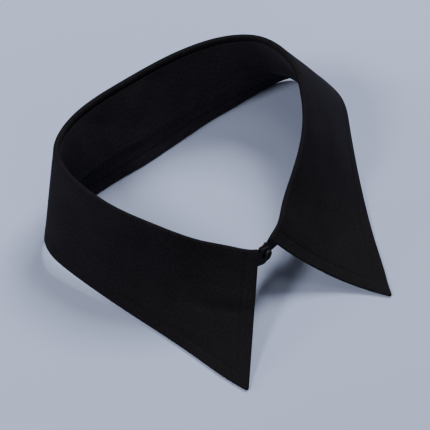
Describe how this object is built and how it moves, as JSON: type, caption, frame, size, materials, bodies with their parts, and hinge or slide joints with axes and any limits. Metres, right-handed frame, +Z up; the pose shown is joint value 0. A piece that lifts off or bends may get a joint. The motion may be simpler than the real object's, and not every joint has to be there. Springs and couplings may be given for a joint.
{
  "type": "detachable shirt collar",
  "caption": "Detachable turn-down shirt collar in black cotton, standing open on its hem, its band lapped and buttoned in front.",
  "frame": {"origin": "middle of the collar's outline, on the surface that its hem stands on", "axes": "+Z up out of the neck opening, +X toward the wearer's left side, +Y toward the back of the neck, the points toward -Y"},
  "size_m": [0.1712, 0.1646, 0.0451],
  "materials": {
    "leaf_cotton": "soft matt black plain-weave cotton, topstitched",
    "band_cotton": "soft matt black plain-weave cotton",
    "button_plastic": "satin black, slightly worn"
  },
  "bodies": {
    "root": {"leaf": "leaf_cotton", "band": "band_cotton", "button": "button_plastic"}
  },
  "joints": []
}
